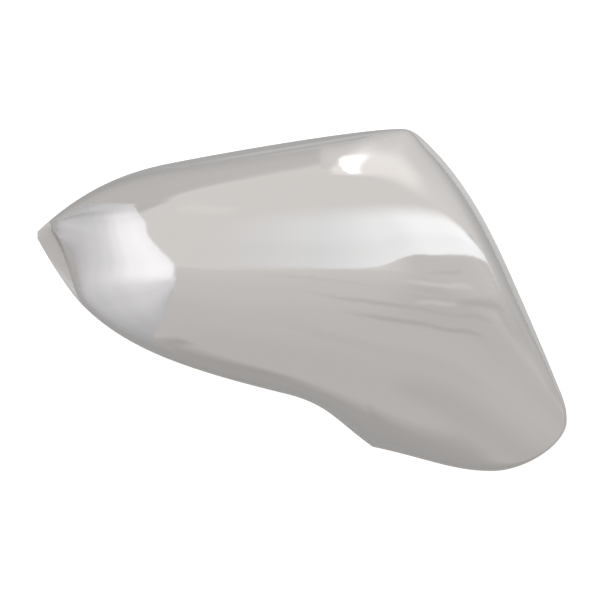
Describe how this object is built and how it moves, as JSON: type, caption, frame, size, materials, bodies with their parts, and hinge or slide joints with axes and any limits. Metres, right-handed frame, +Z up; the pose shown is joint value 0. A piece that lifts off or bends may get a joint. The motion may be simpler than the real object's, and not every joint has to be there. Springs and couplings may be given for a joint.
{
  "type": "wing mirror cover",
  "caption": "Thin chrome-plated shell that covers the front of a car's wing mirror, with a cut-out below for the mirror's foot.",
  "frame": {"origin": "middle of the rear rim's length and height, in the plane of the rim", "axes": "+X outboard from the car, +Y to the rear of the car, out of the open side, +Z up"},
  "size_m": [0.229, 0.074, 0.148],
  "materials": {
    "plated_shell": "bright plated",
    "foam_tape": "matte foam",
    "liner_film": "satin film"
  },
  "bodies": {
    "root": {"cover_shell": "plated_shell", "tape_top": "foam_tape", "tape_flank": "foam_tape", "tape_sole": "foam_tape", "tape_chin": "foam_tape", "liner_top": "liner_film", "liner_flank": "liner_film", "liner_sole": "liner_film", "liner_chin": "liner_film"}
  },
  "joints": []
}
